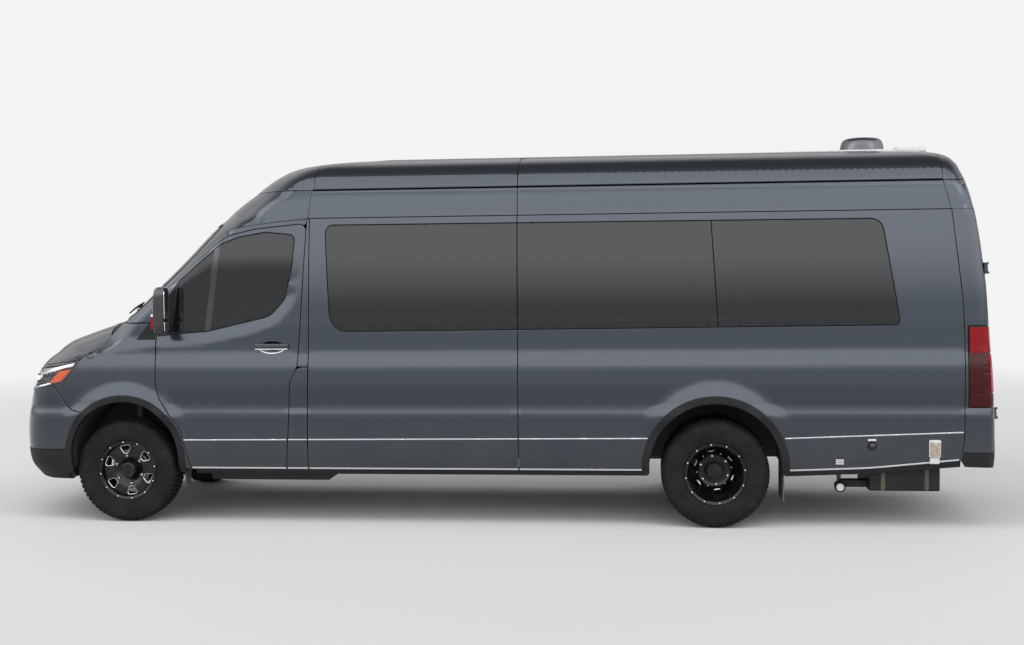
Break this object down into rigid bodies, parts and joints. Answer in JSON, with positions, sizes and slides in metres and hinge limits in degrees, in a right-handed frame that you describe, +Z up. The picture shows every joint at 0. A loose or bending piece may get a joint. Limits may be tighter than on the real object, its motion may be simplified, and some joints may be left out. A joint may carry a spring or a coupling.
{
  "type": "camper van",
  "caption": "Long high-roof camper van with twin rear wheels, hinged cab and rear doors, lifting bonnet and steered front wheels.",
  "frame": {"origin": "on the ground under the middle of the van", "axes": "+X forward, towards the nose; +Y to the van's left; +Z up"},
  "size_m": [7.294, 2.338, 2.8139],
  "materials": {
    "body_paint": "dark blue-grey metallic paint under clear coat",
    "underbody_steel": "black underbody coating, dusty",
    "clear_glass": "lightly tinted laminated glass",
    "dark_glass": "dark privacy glass",
    "black_trim": "black moulded plastic",
    "gloss_black": "gloss black mirror cover",
    "lamp_lens": "clear polycarbonate lens",
    "red_lens": "red and smoked lamp lens",
    "roof_plastic": "moulded roof aerial and vent cover",
    "cast_alloy": "cast engine and gearbox casing",
    "cast_steel": "black axle and suspension steel",
    "dull_steel": "dull exhaust steel",
    "flap_rubber": "rubber mud flap",
    "seat_cloth": "dark seat cloth",
    "cab_plastic": "dark grained facia plastic",
    "cabinet_wood": "light wood veneer cabinets",
    "mattress_cloth": "pale mattress cloth",
    "tyre_rubber": "all-terrain tyre rubber",
    "rim_black": "gloss black wheel with machined edges"
  },
  "bodies": {
    "body": {"floor_pan": "underbody_steel", "chassis_frame": "underbody_steel", "cab_shell": "body_paint", "roof_panel": "body_paint", "left_side_panel": "body_paint", "right_side_panel": "body_paint", "sliding_door": "body_paint", "front_fenders": "body_paint", "windscreen": "clear_glass", "side_glass": "dark_glass", "front_bumper": "body_paint", "grille": "black_trim", "headlamps": "lamp_lens", "tail_lamps": "red_lens", "rear_frame": "body_paint", "rear_bumper": "black_trim", "rear_hinges": "black_trim", "roof_fittings": "roof_plastic", "engine_block": "cast_alloy", "front_axle": "cast_steel", "rear_axle": "cast_steel", "leaf_springs": "cast_steel", "propshaft": "cast_steel", "exhaust": "dull_steel", "underfloor_tanks": "black_trim", "mud_flaps": "flap_rubber", "arch_liners": "black_trim", "cab_seats": "seat_cloth", "dashboard": "cab_plastic", "steering_wheel": "cab_plastic", "galley": "cabinet_wood", "bed_base": "cabinet_wood", "mattress": "mattress_cloth"},
    "bonnet": {"bonnet": "body_paint"},
    "left_front_door": {"left_door": "body_paint", "left_door_glass": "dark_glass", "left_mirror": "gloss_black"},
    "left_back_door": {"left_rear_door": "body_paint", "left_rear_glass": "dark_glass"},
    "left_steered_hub": {"left_knuckle": "cast_steel"},
    "left_front_wheel": {"left_front_tyre": "tyre_rubber", "left_front_rim": "rim_black"},
    "left_rear_wheels": {"left_rear_tyres": "tyre_rubber", "left_rear_rims": "rim_black"},
    "right_front_door": {"right_door": "body_paint", "right_door_glass": "dark_glass", "right_mirror": "gloss_black"},
    "right_back_door": {"right_rear_door": "body_paint", "right_rear_glass": "dark_glass"},
    "right_steered_hub": {"right_knuckle": "cast_steel"},
    "right_front_wheel": {"right_front_tyre": "tyre_rubber", "right_front_rim": "rim_black"},
    "right_rear_wheels": {"right_rear_tyres": "tyre_rubber", "right_rear_rims": "rim_black"}
  },
  "joints": [
    {"name": "left_steer", "type": "hinge", "parent": "body", "child": "left_steered_hub", "pos_m": [2.643, 0.8395, 0.383], "axis": [0, 0, 1], "range_deg": [-33, 33]},
    {"name": "left_front_wheel_spin", "type": "hinge", "parent": "left_steered_hub", "child": "left_front_wheel", "pos_m": [2.643, 0.8555, 0.383], "axis": [0, 1, 0], "continuous": true},
    {"name": "left_rear_wheels_spin", "type": "hinge", "parent": "body", "child": "left_rear_wheels", "pos_m": [-1.682, 0.7615, 0.383], "axis": [0, 1, 0], "continuous": true},
    {"name": "left_front_door_hinge", "type": "hinge", "parent": "body", "child": "left_front_door", "pos_m": [2.393, 1.011, 0.844], "axis": [0, 0.0262, -0.9997], "range_deg": [0, 70]},
    {"name": "left_back_door_hinge", "type": "hinge", "parent": "body", "child": "left_back_door", "pos_m": [-3.625, 0.872, 0.81], "axis": [-0.0623, 0, -0.9981], "range_deg": [0, 180]},
    {"name": "right_steer", "type": "hinge", "parent": "body", "child": "right_steered_hub", "pos_m": [2.643, -0.8395, 0.383], "axis": [0, 0, 1], "range_deg": [-33, 33]},
    {"name": "right_front_wheel_spin", "type": "hinge", "parent": "right_steered_hub", "child": "right_front_wheel", "pos_m": [2.643, -0.8555, 0.383], "axis": [0, 1, 0], "continuous": true},
    {"name": "right_rear_wheels_spin", "type": "hinge", "parent": "body", "child": "right_rear_wheels", "pos_m": [-1.682, -0.7615, 0.383], "axis": [0, 1, 0], "continuous": true},
    {"name": "right_front_door_hinge", "type": "hinge", "parent": "body", "child": "right_front_door", "pos_m": [2.393, -1.011, 0.844], "axis": [0, 0.0262, 0.9997], "range_deg": [0, 70]},
    {"name": "right_back_door_hinge", "type": "hinge", "parent": "body", "child": "right_back_door", "pos_m": [-3.625, -0.872, 0.81], "axis": [0.0623, 0, 0.9981], "range_deg": [0, 180]},
    {"name": "bonnet_hinge", "type": "hinge", "parent": "body", "child": "bonnet", "pos_m": [2.695, 0, 1.48], "axis": [0, -1, 0], "range_deg": [0, 55]}
  ],
  "couplings": [
    {"joint": "right_steer", "follows": "left_steer", "ratio": 1}
  ]
}
